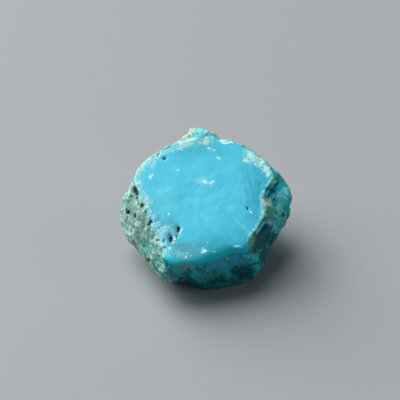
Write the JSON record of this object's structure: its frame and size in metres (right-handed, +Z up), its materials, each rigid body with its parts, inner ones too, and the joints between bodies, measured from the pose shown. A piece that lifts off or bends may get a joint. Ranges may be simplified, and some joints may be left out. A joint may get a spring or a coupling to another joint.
{
  "type": "raw turquoise nugget",
  "caption": "Rough stone nugget with a smooth, tilted, broken blue face, a porous pale rind on one side, dark lumpy sides and a flat underside to rest on.",
  "frame": {"origin": "centre of the stone's bounding box, on the plane of the flat underside", "axes": "+Z up from the underside, +X along the longest extent, -Y towards the low front edge of the smooth tilted face"},
  "size_m": [0.03, 0.0288, 0.0204],
  "materials": {
    "turquoise": "waxy on the smooth broken face, chalky and pitted on the rind, with dark and pale specks"
  },
  "bodies": {
    "root": {"turquoise_nugget": "turquoise"}
  },
  "joints": []
}
